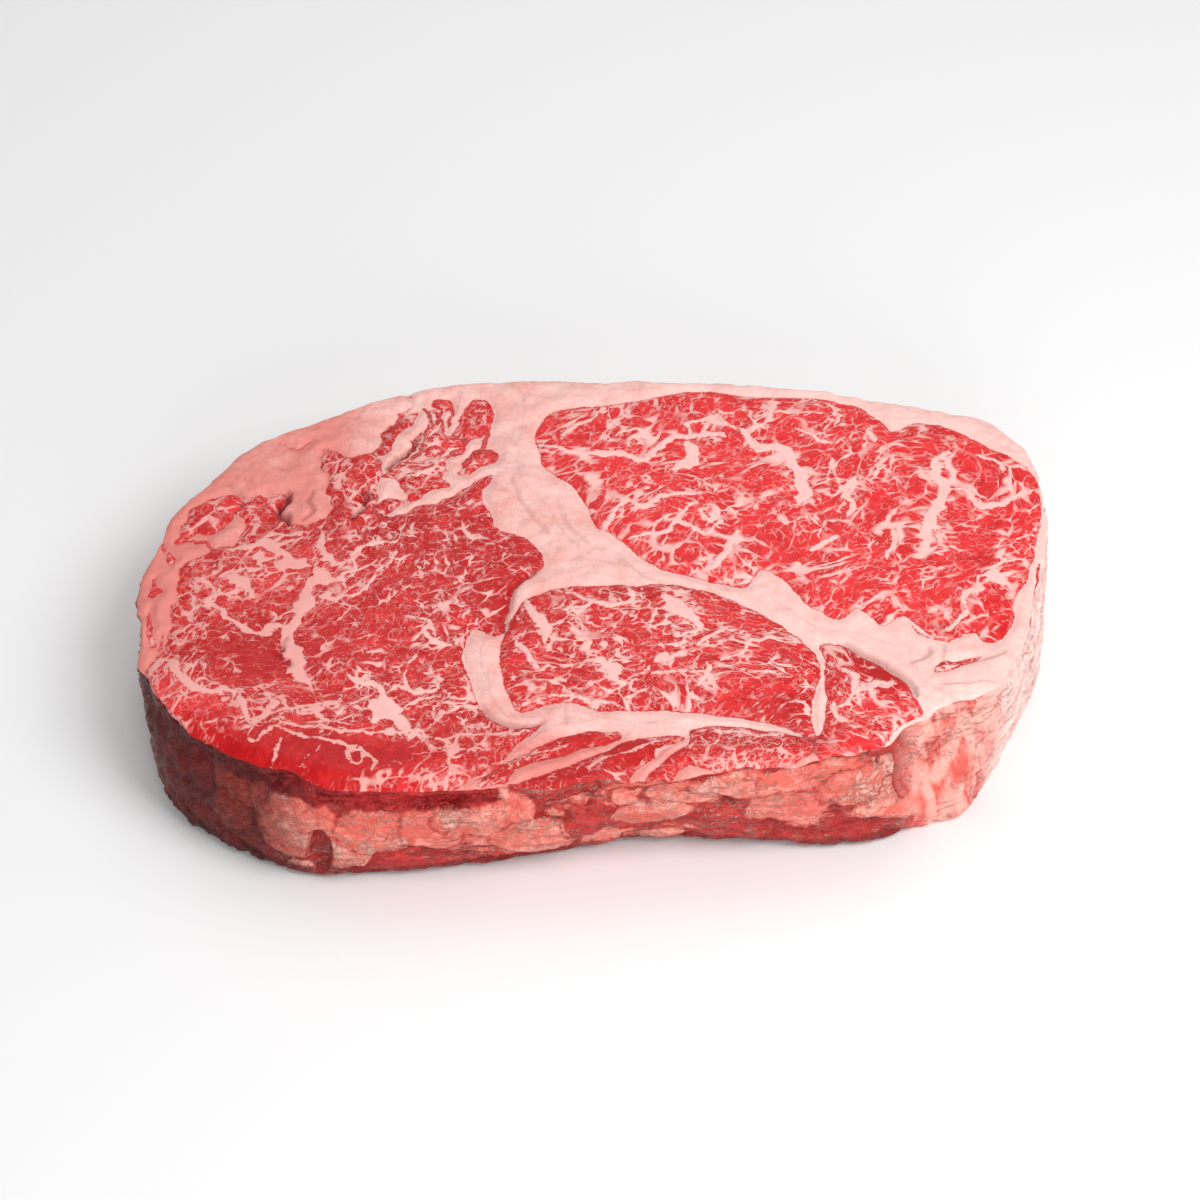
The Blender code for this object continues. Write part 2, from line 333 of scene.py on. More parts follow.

# Slits, folds and pits that cut down into the face, also darkened in colour as painted shade: width, depth
# share, then the way they run.
creases = [
    (1.6, 1.0, [(-72.6, 26), (-72.2, 21), (-70.6, 16)]), (1.0, 0.7, [(-49, 35), (-45, 42), (-42, 49)]),
    (1.1, 0.7, [(-53, 25), (-55, 21), (-57, 17)]), (0.7, 0.5, [(-66, 27), (-66, 22), (-67, 18)]),
    (0.7, 0.55, [(-14.6, -0.8), (-18.6, -4.5), (-20.4, -10), (-20.7, -16), (-21.6, -20)]),
    (0.6, 0.5, [(-26, -43), (-23.2, -46.6), (-17.5, -49), (-12.5, -48)]),
    (0.8, 0.55, [(52, -24), (56.5, -27.2), (61.5, -31.7), (65, -36), (66, -40)]),
    (0.6, 0.4, [(70.5, -17.5), (74, -19.5), (77, -21.5)]), (0.6, 0.35, [(74, -30), (80, -29), (86, -26.5)]),
    (0.5, 0.3, [(-20.5, 30), (-17.5, 22), (-12, 12)]), (0.5, 0.28, [(-10, 24), (-8, 16), (-3, 9)]),
    (0.45, 0.3, [(10, -7.4), (11.5, -12), (15, -15.5)]), (0.5, 0.3, [(-64, 42), (-62.6, 34), (-63, 27)]),
    (0.8, 0.7, [(-54, 27), (-54.2, 22), (-56.5, 16)]), (0.6, 0.5, [(-49, 36), (-46.5, 40), (-44.5, 44)]),
    (0.5, 0.4, [(-51.5, 45), (-49, 51), (-45, 56)]), (0.7, 0.5, [(-67, -23), (-69, -28), (-66, -32)]),
    (0.5, 0.3, [(20.2, -42.4), (20.8, -43)]), (0.45, 0.25, [(-7.5, -44), (-7.5, -49)]),
    (0.7, 0.4, [(70, -24.5), (69.5, -27), (66, -29.8)]), (0.6, 0.35, [(73, -24), (72.5, -28)]),
    (0.5, 0.3, [(-86, 3), (-84, -2), (-85, -9)]), (0.5, 0.25, [(3, 4), (10, -2.6), (18, -6)]),
    (0.6, 0.3, [(-84, 29), (-83, 26), (-80.5, 24)]), (0.45, 0.3, [(72, -36.5), (78, -35.6), (83, -35.4)]),
]

# Lobes of fat and knots of lean on the side, seen from the front: x, height, half length,
# half height in millimetres, how far it stands out (millimetres), and fat 1 or lean -1.
sideLobes = [
    (-78.5, 16, 6.0, 10, 0.7, 0.5), (-63, 15.5, 9.0, 10, 1.3, 0.9), (-52.5, 8, 5.5, 6, 1.2, 1.0),
    (-46.5, 17, 7.5, 7, 1.1, 0.9), (-35, 16, 6.0, 7.5, 1.3, 1.0), (-23.5, 19.5, 9.5, 6.5, 1.5, 1.1),
    (-14.5, 10.5, 8.0, 6.5, 1.1, 0.9), (-2.5, 15, 5.5, 6, 1.2, -0.7), (10.5, 15, 8.5, 4.0, 1.0, 1.0),
    (27, 10, 9.0, 8, 0.8, -0.35), (36, 22.5, 18.0, 4.0, 1.2, 1.0), (39, 14.5, 8.0, 5, 0.9, 0.7),
    (52, 18, 8.0, 4.5, 1.1, 1.0), (66, 8, 13.0, 5, 1.0, 1.0), (76, 17, 9.0, 9, 0.8, 0.8),
    (-58.5, 8.5, 2.4, 6.5, -0.8, -1.0), (63.5, 18, 3.0, 8, -0.9, -1.2), (52, 4, 14.0, 4.5, 0.5, -0.9),
    (-36, 2.5, 22.0, 4, 0.2, -0.8), (-88, 15, 7.0, 14, 0.0, -0.5),
]

# Where the side's fat is whitish and crumbly: x, height, half length, half height in millimetres.
crumbs = [(-52, 8, 8, 7), (52, 18, 9, 5), (22, 10, 10, 8), (-30, 20, 6, 5), (70, 9, 8, 4)]


def randomAt(cells, seed):
    # a random number from 0 to 1 for each lattice cell
    key = cells @ np.array([73856093, 19349663, 83492791]) + seed * 7919
    key = (key ^ (key >> 15)) * 2246822519 & 0xffffffff
    key = (key ^ (key >> 13)) * 3266489917 & 0xffffffff
    return ((key ^ (key >> 16)) & 0xffff) / 65535


def latticeNoise(points, cell, seed):
    # Smooth random field from -1 to 1: a random value at each corner of a lattice of cubes,
    # blended inside each cube with the curve 6t^5 - 15t^4 + 10t^3.
    spots = points / cell + seed * 17.31
    base = np.floor(spots).astype(np.int64)
    part = spots - base
    blend = part ** 3 * (part * (part * 6 - 15) + 10)
    total = np.zeros(len(points))
    for corner in itertools.product((0, 1), repeat=3):
        total += (randomAt(base + corner, seed) * 2 - 1) * np.prod(np.where(corner, blend, 1 - blend),
                                                                   axis=1)
    return total


def cellNoise(points, cell, seed):
    # Packed round cells: one random spot in each lattice cube; how much nearer the nearest spot
    # is than the second nearest (0 on a border), and a random number for the cell.
    spots = points / cell + seed * 11.7
    base = np.floor(spots).astype(np.int64)
    nearest, second = np.full(len(points), 9.0), np.full(len(points), 9.0)
    number = np.zeros(len(points))
    for step in itertools.product((-1, 0, 1), repeat=3):
        cube = base + step
        gap = np.linalg.norm(spots - cube - np.column_stack([randomAt(cube,
                                                                      seed + axis) for axis in range(3)]),
                                                                      axis=1)
        closer = gap < nearest
        second = np.where(closer, nearest, np.minimum(second, gap))
        number = np.where(closer, randomAt(cube, seed + 3), number)
        nearest = np.minimum(nearest, gap)
    return second - nearest, number


def layeredNoise(points, cell, seed, layers=3):
    # the same field summed at half the size and half the strength, layer by layer
    parts = [latticeNoise(points, cell / 2 ** i, seed + i) / 2 ** i for i in range(layers)]
    return sum(parts)


def ease(value, low, high):
    # 0 below low, 1 above high, with a smooth step between
    share = np.clip((value - low) / (high - low), 0, 1)
    return share * share * (3 - 2 * share)


def throughPoints(rows, closed, perSpan):
    # Catmull-Rom curve: each stretch leaves a point along the line joining its two neighbours
    rows = np.array(rows, dtype=float)
    ring = rows if closed else np.vstack([2 * rows[0] - rows[1], rows, 2 * rows[-1] - rows[-2]])
    before, after, beyond = (np.roll(ring, -shift, 0) for shift in (-1, 1, 2))
    t = np.linspace(0, 1, perSpan, endpoint=False)[None, :, None]
    here, there = ring[:, None], after[:, None]
    leave, arrive = (after - before)[:, None] / 2, (beyond - ring)[:, None] / 2
    curve = (here * (2 * t ** 3 - 3 * t ** 2 + 1) + leave * (t ** 3 - 2 * t ** 2 + t)
             + there * (3 * t ** 2 - 2 * t ** 3) + arrive * (t ** 3 - t ** 2))
    if closed:
        return curve.reshape(-1, rows.shape[1])
    return np.vstack([curve[1:-2].reshape(-1, rows.shape[1]), rows[-1:]])


def toStretch(points, start, end):
    # distance to a straight stretch, and how far along it the nearest spot lies
    run = end - start
    share = np.clip((points - start) @ run / max(run @ run, 1e-12), 0, 1)
    return np.linalg.norm(points - start - share[:, None] * run, axis=1), share


def nearTo(points, line, reach):
    low, high = line.min(0) - reach, line.max(0) + reach
    return np.flatnonzero(((points > low) & (points < high)).all(axis=1))


def insideDepth(points, outline, reach=8.0):
    # signed distance to a closed outline in millimetres, positive inside, cut off at the reach
    loop = throughPoints(outline, True, 3)
    near = nearTo(points, loop, reach)
    spots = points[near]
    gap = np.full(len(near), reach)
    inside = np.zeros(len(near), dtype=bool)
    for start, end in zip(loop, np.roll(loop, -1, 0)):
        gap = np.minimum(gap, toStretch(spots, start, end)[0])
        crosses = (start[1] > spots[:, 1]) != (end[1] > spots[:, 1])
        rise = end[1] - start[1] if end[1] != start[1] else 1e-9
        inside ^= crosses & (spots[:, 0] < start[0] + (spots[:, 1] - start[1]) * (end[0] - start[0]) / rise)
    depth = np.full(len(points), -reach)
    depth[near] = np.where(inside, gap, -gap)
    return depth


def lineDepth(points, line, width, reach=3.0, taper=0.45):
    # half the width minus the distance to the line, in millimetres; the line thins to its ends
    path = throughPoints(line, False, 4)
    near = nearTo(points, path, reach + width)
    spots = points[near]
    best = np.full(len(near), -reach)
    count = len(path) - 1
    for i in range(count):
        gap, share = toStretch(spots, path[i], path[i + 1])
        fullness = taper + (1 - taper) * math.pi / 2 * np.sin(math.pi * (i + share) / count) ** 0.6 / 1.57
        best = np.maximum(best, width / 2 * fullness - gap)
    depth = np.full(len(points), -reach)
    depth[near] = best
    return depth


def faceMap(points):
    # everything the cut face shows at a spot, from its x and y in millimetres
    wander = np.column_stack([points, np.zeros(len(points))])
    shift = np.column_stack([layeredNoise(wander, 4.0, seed, 3) for seed in (3, 9)])
    loose = 0.35 + 0.85 * ease(-points[:, :1], 22.0, 40.0)
    spots = points + shift * loose
    lean = np.full(len(points), -8.0)
    depthOfRed = np.full(len(points), 0.5)
    grain = np.column_stack([points, np.zeros(len(points))])
    bend = np.column_stack([layeredNoise(wander, 24.0, seed, 2) for seed in (14, 17)]) * 4.0
    bent = points + bend
    for index, muscle in enumerate(muscles.values()):
        inside = insideDepth(spots, muscle["outline"])
        mine = inside > lean
        lean = np.where(mine, inside, lean)
        depthOfRed = np.where(mine, muscle["depth"], depthOfRed)
        angle = math.radians(muscle["grain"])
        turned = np.column_stack([bent @ (math.cos(angle), math.sin(angle)) * fleckLength,
                                  bent @ (-math.sin(angle), math.cos(angle)),
                                  np.full(len(points), 40.0 * index)]) / muscle["coarse"]
        grain = np.where(mine[:, None], turned, grain)
    for width, line in leanStrands:
        strand = lineDepth(spots, line, width)
        depthOfRed = np.where(strand > lean, 0.45, depthOfRed)
        lean = np.maximum(lean, strand)
    extraFat = np.zeros(len(points))
    for x, y, halfWidth, halfDepth, fatter, deeper in patches:
        here = np.exp(-((points[:, 0] - x) / halfWidth) ** 2 - ((points[:, 1] - y) / halfDepth) ** 2)
        extraFat += fatter * here
        depthOfRed = depthOfRed + deeper * here
    x, y = points.T
    frontEdge = ease(-y, 49.0, 57.0) * ease(62.0 - x, 0.0, 10.0)
    paleness = 0.62 - 0.50 * frontEdge - 0.25 * ease(-x, 84.0, 94.0) + 0.18 * ease(x, -20.0,
                                                                                   20.0) - 0.42 * ease(-x,
                                                                                                       48.0,
                                                                                                       64.0)
    vein = np.full(len(points), -3.0)
    for width, line in veins:
        vein = np.maximum(vein, lineDepth(spots + shift * 0.6, line, width))
    crease = np.zeros(len(points))
    for width, share, line in creases:
        crease = np.maximum(crease, share * ease(lineDepth(spots, line, width), -0.7, 0.5))
    return {"lean": lean, "vein": vein, "crease": crease, "depthOfRed": depthOfRed, "extraFat": extraFat,
            "paleness": paleness, "grain": grain * mm}


def faceRelief(points, shown):
    # Height of the cut face over the rim: low domes on the muscles, a groove along every
    # muscle's border, waves in the seam fat, and slits where the tissue has parted.
    flat = np.column_stack([points, np.zeros(len(points))])
    dome = cutFace["swell"] * ease(shown["lean"], -1.0, 8.0)
    groove = -cutFace["seamGroove"] * np.exp(-(shown["lean"] / 0.7) ** 2)
    seam = ease(-shown["lean"], 0.3, 3.0)
    waves = cutFace["seamWaves"] * seam * (0.6 + layeredNoise(flat, 5.0, 21, 3) * 0.8)
    knife = cutFace["handCut"] * (layeredNoise(flat, 19.0, 5, 3) * 0.6 + 0.25 * latticeNoise(flat, 3.2, 8))
    proudVeins = 0.12 * mm * ease(shown["vein"], -0.2, 0.5) * (1 - seam)
    return dome + groove + waves + knife + proudVeins - cutFace["creaseDepth"] * shown["crease"]


def solidRings():
    # The solid's side as it was built: at each height, the distance from the middle in every
    # direction, smoothed a little along the ring so that its flat facets go.
    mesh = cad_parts["steak"].data
    corners = np.empty(len(mesh.vertices) * 3)
    mesh.vertices.foreach_get("co", corners)
    corners = np.unique(np.round(corners.reshape(-1, 3), 6), axis=0)
    top = highCorner.z - cutFace["swell"] - sliceShape["rimRadius"] + 0.1 * mm
    levels, counts = np.unique(np.round(corners[:, 2], 5), return_counts=True)
    levels = levels[(levels < top) & (counts > 100)]
    headings = np.linspace(-math.pi, math.pi, 1440, endpoint=False)
    window = np.exp(-(np.arange(-12, 13) / 5.0) ** 2)
    radii = []
    for level in levels:
        ring = corners[np.abs(corners[:, 2] - level) < 6e-6]
        heading = np.arctan2(ring[:, 1], ring[:, 0])
        order = np.argsort(heading)
        radius = np.interp(headings, heading[order], np.linalg.norm(ring[order, :2], axis=1),
                           period=2 * math.pi)
        wrapped = np.concatenate([radius[-12:], radius, radius[:12]])
        radii.append(np.convolve(wrapped, window / window.sum(), "valid"))
    return levels, headings, np.array(radii)


ringLevels, ringHeadings, ringRadii = solidRings()
rimHeight = highCorner.z - cutFace["swell"]
print("solid read:", len(ringLevels), "rings on the side")


def sidePoint(heading, height):
    # a point of the bare side, in a direction and at a height
    level = np.interp(height, ringLevels, np.arange(len(ringLevels)))
    lower = np.clip(np.floor(level).astype(int), 0, len(ringLevels) - 2)
    place = (heading + math.pi) / (2 * math.pi) * len(ringHeadings)
    before = np.floor(place).astype(int) % len(ringHeadings)
    share = place - np.floor(place)
    after = (before + 1) % len(ringHeadings)
    below = ringRadii[lower, before] * (1 - share) + ringRadii[lower, after] * share
    above = ringRadii[lower + 1, before] * (1 - share) + ringRadii[lower + 1, after] * share
    radius = below + (above - below) * (level - lower)
    return np.column_stack([radius * np.cos(heading), radius * np.sin(heading)])


def outward(heading):
    # direction straight out of the side, seen from above, at half height
    step = 0.012
    run = (sidePoint(heading + step, np.full(len(heading), rimHeight / 2))
           - sidePoint(heading - step, np.full(len(heading), rimHeight / 2)))
    normal = np.column_stack([run[:, 1], -run[:, 0]])
    return normal / np.linalg.norm(normal, axis=1, keepdims=True)


def squareGrid(across, deep):
    # A square grid pressed into a disc, u*sqrt(1-v*v/2) and v*sqrt(1-u*u/2), then stretched to
    # the slice's own proportions: gives each grid point its share of the way out and its direction.
    u, v = np.meshgrid(np.linspace(-1, 1, across + 1), np.linspace(-1, 1, deep + 1))
    x, y = u * np.sqrt(1 - v * v / 2), v * np.sqrt(1 - u * u / 2)
    share = np.minimum(np.hypot(x, y), 1.0)
    share[[0, -1], :] = 1.0
    share[:, [0, -1]] = 1.0
    heading = np.arctan2(y * highCorner.y, x * highCorner.x)
    return share.ravel(), heading.ravel()


def borderOrder(across, deep):
    # indices of the grid's border, anticlockwise from its lower left corner
    grid = np.arange((across + 1) * (deep + 1)).reshape(deep + 1, across + 1)
    return np.concatenate([grid[0, :-1], grid[:-1, -1], grid[-1, :0:-1], grid[:0:-1, 0]])


def sideMap(base, out):
    # What the side shows at a spot: how fat it is, how far its lobes stand out, the cracks between them
    # (darkened as painted shade), where it is covered by pale membrane, and where it is darkened: the left
    # end (dried, and painted shade), a deep red band under the rim (real lean, and painted shade) and
    # painted shade along the foot.
    x, y, z = (base / mm).T
    spot = base / mm
    front = ease(-out[:, 1], -0.1, 0.35)
    rightEnd = ease(x, 76.0, 90.0) * ease(out[:, 0], 0.35, 0.8)
    # left end: partly dried meat, partly painted shade on the end turned away from the key light
    leftEnd = ease(-x, 48.0, 88.0) * ease(-out[:, 1] - 0.35 * out[:, 0], -0.55, 0.65)
    bend = np.column_stack([layeredNoise(spot, 6.0, seed, 3) for seed in (71, 75, 79)])
    stretched = (spot + bend * 1.6) * (0.62, 0.62, 1.0)
    inLobe, lobeNumber = cellNoise(stretched, sideWall["lobes"][0], 33)
    inLobule, lobuleNumber = cellNoise(spot + bend * 1.1, sideWall["lobules"][0], 47)
    fat = (lobeNumber - 0.42) * 1.7 + layeredNoise(stretched, 11.0, 31, 3) * 0.5 + (1 - front) * 1.35
    raised = np.zeros(len(x))
    covered = np.zeros(len(x))
    edges = np.zeros(len(x))
    for centre, height, halfLength, halfHeight, stands, kind in sideLobes:
        away = np.hypot((x - centre) / halfLength, (z - height) / halfHeight) + bend[:, 0] * 0.17
        here = front * ease(1.12 - away, 0.0, 0.3)
        raised = raised * (1 - here) + stands * here * (0.4 + 0.6 * np.sqrt(np.clip(1.1 - away, 0, 1)))
        fat = fat * (1 - here) + kind * here
        covered = np.maximum(covered, here)
        edges = np.maximum(edges * (1 - here), front * np.exp(-((away - 1.1) / 0.13) ** 2))
    fat = fat * (1 - rightEnd) + rightEnd * 1.1 - leftEnd * 0.25
    # deep red band under the rim: real lean along the front left, and painted shade under the rim,
    # moderately all along the front
    bandAndShadeTop = front * (0.35 + 0.9 * ease(-18 - x, 0, 12) * ease(x, -96, -86))
    underRim = bandAndShadeTop * ease(z, 19.5, 24.0)
    # painted shade: dark red along the bottom of the front side, where it meets the floor
    foot = front * ease(6.0 - z, 0, 4.5) * ease(72 - x, 0, 12)
    crumbly = sum(0.28 * np.exp(-((x - centre) / length) ** 2 - ((z - height) / tall) ** 2)
                  for centre, height, length, tall in crumbs) * front
    smooth = np.maximum(front * ease(x, 60.0, 68.0), rightEnd)
    # cracks where red meat shows between lobes, darkened as painted shade
    crack = (1 - ease(inLobe, 0.0, 0.14)) * (0.45 + 0.55 * front) * (1 - 0.6 * covered) * (1 - rightEnd)
    crack = np.maximum(crack, 0.75 * edges * (1 - smooth))
    return {"sideFat": fat, "raised": raised, "driedAndShade": leftEnd, "membrane": rightEnd,
            "underRim": underRim, "foot": foot, "crack": crack, "inLobe": inLobe, "inLobule": inLobule,
            "lobule": lobuleNumber, "tone": lobeNumber * (0.4 + 0.6 * front) + 0.9 * (1 - front),
            "crumbly": crumbly, "smooth": smooth}


def sideRelief(base, shown):
    # How far the side stands out: named lobes, packed lobes and crumbs of fat, each rounded as
    # the square root of the way in from its border, a channel under the rim, and folds.
    spot = base / mm
    x, z = spot[:, 0], spot[:, 2]
    fatness = ease(shown["sideFat"], -0.4, 0.5)
    lobes = sideWall["lobes"][1] * (np.sqrt(np.clip(shown["inLobe"] / 0.7, 0, 1)) - 0.6)
    lobules = sideWall["lobules"][1] * (np.sqrt(np.clip(shown["inLobule"] / 0.6, 0, 1)) - 0.6) * fatness
    lobules = lobules * (1 - 0.8 * shown["smooth"]) * (0.3 + 0.7 * ease(latticeNoise(spot, 8.0, 87), -0.3,
                                                                        0.5))
    upright = np.column_stack([spot[:, 0] / 3.2, spot[:, 1] / 3.2, spot[:, 2] / 16.0])
    across = np.column_stack([spot[:, 0] / 16.0, spot[:, 1] / 16.0, spot[:, 2] / 2.6])
    sway = layeredNoise(spot, 8.0, 61, 2)[:, None] * 0.9
    uprightFolds = 1 - np.abs(layeredNoise(upright + sway, 1.0, 63, 2)) * 2.4
    acrossFolds = 1 - np.abs(layeredNoise(across + sway, 1.0, 65, 2)) * 2.4
    share = shown["driedAndShade"]
    folds = sideWall["folds"] * (uprightFolds * share + acrossFolds * (1 - share) * 0.7) * 0.6
    wavy = 0.35 + 0.65 * ease(latticeNoise(spot, 14.0, 67), -0.5, 0.4)
    channel = -sideWall["underRim"] * np.exp(-((z - 22.6 - sway[:, 0]) / 2.1) ** 2) * wavy
    return (sideWall["lumps"] * shown["raised"] + lobes * (1 - 0.5 * shown["membrane"]) + lobules + folds
            + channel + sideWall["grain"] * layeredNoise(spot, 1.1, 81, 2))


def skinPoints(base, out, below, toRim):
    # Puts the relief on bare points of the skin. Below is how far a point lies past the start of
    # the rim's rounding and toRim how far in it lies; the face's relief fades and the side's grows.
    spot = base / mm
    shown = faceMap(spot[:, :2])
    shown.update(sideMap(base, out))
    onFace = 1 - ease(below, 1.0 * mm, 4.0 * mm)
    onSide = ease(below, 0.4 * mm, 3.0 * mm)
    nearRim = np.exp(-(toRim / (3.0 * mm)) ** 2) * (1 - ease(below, 2.0 * mm, 9.0 * mm))
    uneven = layeredNoise(spot, 9.0, 91, 3)
    droop = sideWall["rimDroop"] * nearRim * (0.45 + 0.55 * ease(-out[:, 1], -0.2,
                                                                 0.5)) * (0.8 + 0.5 * uneven)
    lift = faceRelief(spot[:, :2], shown) * onFace - droop * onFace
    push = sideRelief(base, shown) * onSide + sideWall["rimWaves"] * nearRim * uneven * ease(below,
                                                                                             -0.1 * mm,
                                                                                             1.2 * mm)
    points = base + np.column_stack([out * push[:, None], lift])
    points[:, 2] = np.maximum(points[:, 2], 0.0)
    return points, shown


def cutFaceSkin(share, heading):
    out = outward(heading)
    radius = sliceShape["rimRadius"]
    edge = sidePoint(heading, np.full(len(heading), rimHeight - radius))
    turn = math.radians(sliceShape["lipTurn"])
    flatShare = 1 - 2.0 * mm / highCorner.x
    angle = turn * np.clip((share - flatShare) / (1 - flatShare), 0, 1)
    inner = edge - out * radius
    plan = inner * np.minimum(share / flatShare, 1)[:, None] + out * (radius * np.sin(angle))[:, None]
    base = np.column_stack([plan, rimHeight - radius * (1 - np.cos(angle))])
    toRim = np.linalg.norm(edge, axis=1) * np.clip(1 - share, 0, 1)
    return skinPoints(base, out, radius * angle, toRim)


def sideSkin(heading, rows):
    # down the side: the last part of the rim's rounding, the wall, the turn of the foot and a
    # short flat inset, as rows by columns
    radius, count = sliceShape["rimRadius"], len(heading)
    turn = math.radians(sliceShape["lipTurn"])
    footTop = sliceShape["footRadius"]
    angles = np.linspace(turn, math.pi / 2, 4)[:-1]
    heights = list(rimHeight - radius * (1 - np.cos(angles)))
    insets = list(radius * (1 - np.sin(angles)))
    below = list(radius * angles)
    wallRows = rows - 12
    wall = np.linspace(rimHeight - radius, footTop, wallRows)
    footTurn = np.linspace(0, math.pi / 2, 9)[1:]
    wall = np.concatenate([wall, footTop * (1 - np.sin(footTurn))])
    heights += list(wall)
    insets += [0.0] * len(wall)
    below += list(radius * math.pi / 2 + rimHeight - radius - wall)
    heights.append(0.0)
    insets.append(sliceShape["footInset"] - footTop)
    below.append(below[-1] + insets[-1])
    out = outward(heading)
    base = []
    for height, inset in zip(heights, insets):
        plan = sidePoint(heading, np.full(count, min(height, rimHeight - radius))) - out * inset
        base.append(np.column_stack([plan, np.full(count, max(height, 0.0))]))
    base = np.array(base)
    rowsMade = len(heights)
    points, shown = skinPoints(base.reshape(-1, 3), np.tile(out, (rowsMade, 1)), np.repeat(below, count),
                               np.zeros(rowsMade * count))
    return points.reshape(rowsMade, count, 3), shown


def meshFrom(name, points, faces, attributes, faceUv):
    mesh = bpy.data.meshes.new(name)
    mesh.from_pydata(points.tolist(), [], faces.tolist())
    for key, values in attributes.items():
        kind = "FLOAT_VECTOR" if values.ndim == 2 else "FLOAT"
        layer = mesh.attributes.new(key, kind, "POINT")
        layer.data.foreach_set("vector" if values.ndim == 2 else "value", values.astype(np.float32).ravel())
    uvLayer = mesh.uv_layers.new(name="OFBake")
    uvLayer.data.foreach_set("uv", faceUv.astype(np.float32).ravel())
    mesh.shade_smooth()
    mesh.validate()
    piece = bpy.data.objects.new(name, mesh)
    bpy.context.scene.collection.objects.link(piece)
    return piece


def gridFaces(rows, columns, wrap):
    # four-cornered faces between neighbouring rows and columns
    grid = np.arange(rows * columns).reshape(rows, columns)
    right = np.roll(grid, -1, axis=1)
    if not wrap:
        grid, right = grid[:, :-1], right[:, :-1]
    return np.stack([grid[:-1], right[:-1], right[1:], grid[1:]], axis=-1).reshape(-1, 4)


def undersideSkin(share, heading, border, borderHeading):
    # flat disc that closes the slice, its border on the last row of the side
    edge = [np.interp(heading, borderHeading, border[:, axis], period=2 * math.pi) for axis in (0, 1)]
    return np.column_stack([edge[0] * share, edge[1] * share, np.zeros(len(share))])


def planUv(points, faces):
    # the picture of a cut face is its view from above, filling the square
    span = np.array([highCorner.x, highCorner.y]) * 2.06
    return (points[:, :2] / span + 0.5)[faces.ravel()]


def stripUv(rows, columns, strips):
    # the side laid out flat as strips, one above the other
    row, column = np.meshgrid(np.arange(rows - 1), np.arange(columns), indexing="ij")
    perStrip = math.ceil(columns / strips)
    strip, local = column // perStrip, column % perStrip
    corners = []
    for down, right in ((1, 0), (1, 1), (0, 1), (0, 0)):
        u = 0.01 + 0.98 * (local + right) / perStrip
        v = (strip + 0.04 + 0.92 * (1 - (row + down) / (rows - 1))) / strips
        corners.append(np.stack([u, v], axis=-1))
    return np.stack(corners, axis=2).reshape(-1, 2)


def rgb(red, green, blue):
    # screen colour from 0 to 255 to linear light
    share = np.array([red, green, blue]) / 255
    linear = np.where(share <= 0.04045, share / 12.92, ((share + 0.055) / 1.055) ** 2.4)
    return (*linear.tolist(), 1.0)


def addNode(tree, kind, inputs=None, **settings):
    # adds a node, sets its choices, and fills or links its inputs
    node = tree.nodes.new(kind)
    for key, value in settings.items():
        setattr(node, key, value)
    for key, value in (inputs or {}).items():
        if isinstance(value, bpy.types.NodeSocket):
            tree.links.new(value, node.inputs[key])
        else:
            node.inputs[key].default_value = value
    return node


def calc(tree, operation, *values):
    return addNode(tree, "ShaderNodeMath", dict(enumerate(values)), operation=operation).outputs[0]


def fade(tree, value, low, high, start=0.0, end=1.0):
    # smooth step from start to end while the value goes from low to high
    node = addNode(tree, "ShaderNodeMapRange", {0: value, 1: low, 2: high, 3: start, 4: end},
                 interpolation_type="SMOOTHSTEP")
    return node.outputs[0]


def tint(tree, share, first, second, blend="MIX"):
    node = addNode(tree, "ShaderNodeMix", {0: share, 6: first, 7: second}, data_type="RGBA",
                   blend_type=blend)
    return node.outputs[2]


def grainNoise(tree, vector, cell, detail=2.0, roughness=0.5, distortion=0.0):
    node = addNode(tree, "ShaderNodeTexNoise", {"Vector": vector, "Scale": 1 / cell, "Detail": detail,
                                              "Roughness": roughness, "Distortion": distortion})
    return node.outputs["Fac"]


def stretchBy(tree, vector, amounts):
    return addNode(tree, "ShaderNodeVectorMath", {0: vector, 1: amounts}, operation="MULTIPLY").outputs[0]


def read(tree, name, vector=False):
    node = addNode(tree, "ShaderNodeAttribute", attribute_name=name, attribute_type="GEOMETRY")
    return node.outputs["Vector" if vector else "Fac"]


def newGroup(name, inputs, outputs):
    # an empty node group with its named inputs (name, kind, value) and outputs (name, kind)
    group = bpy.data.node_groups.new(name, "ShaderNodeTree")
    for label, kind, value in inputs:
        socket = group.interface.new_socket(name=label, in_out="INPUT", socket_type=kind)
        if value is not None:
            socket.default_value = value
    for label, kind in outputs:
        group.interface.new_socket(name=label, in_out="OUTPUT", socket_type=kind)
    return group, group.nodes.new("NodeGroupInput").outputs, group.nodes.new("NodeGroupOutput").inputs


def useGroup(tree, group, **inputs):
    node = tree.nodes.new("ShaderNodeGroup")
    node.node_tree = group
    for key, value in inputs.items():
        if isinstance(value, bpy.types.NodeSocket):
            tree.links.new(value, node.inputs[key])
        else:
            node.inputs[key].default_value = value
    return node.outputs


scalar, vectorKind, colourKind = "NodeSocketFloat", "NodeSocketVector", "NodeSocketColor"


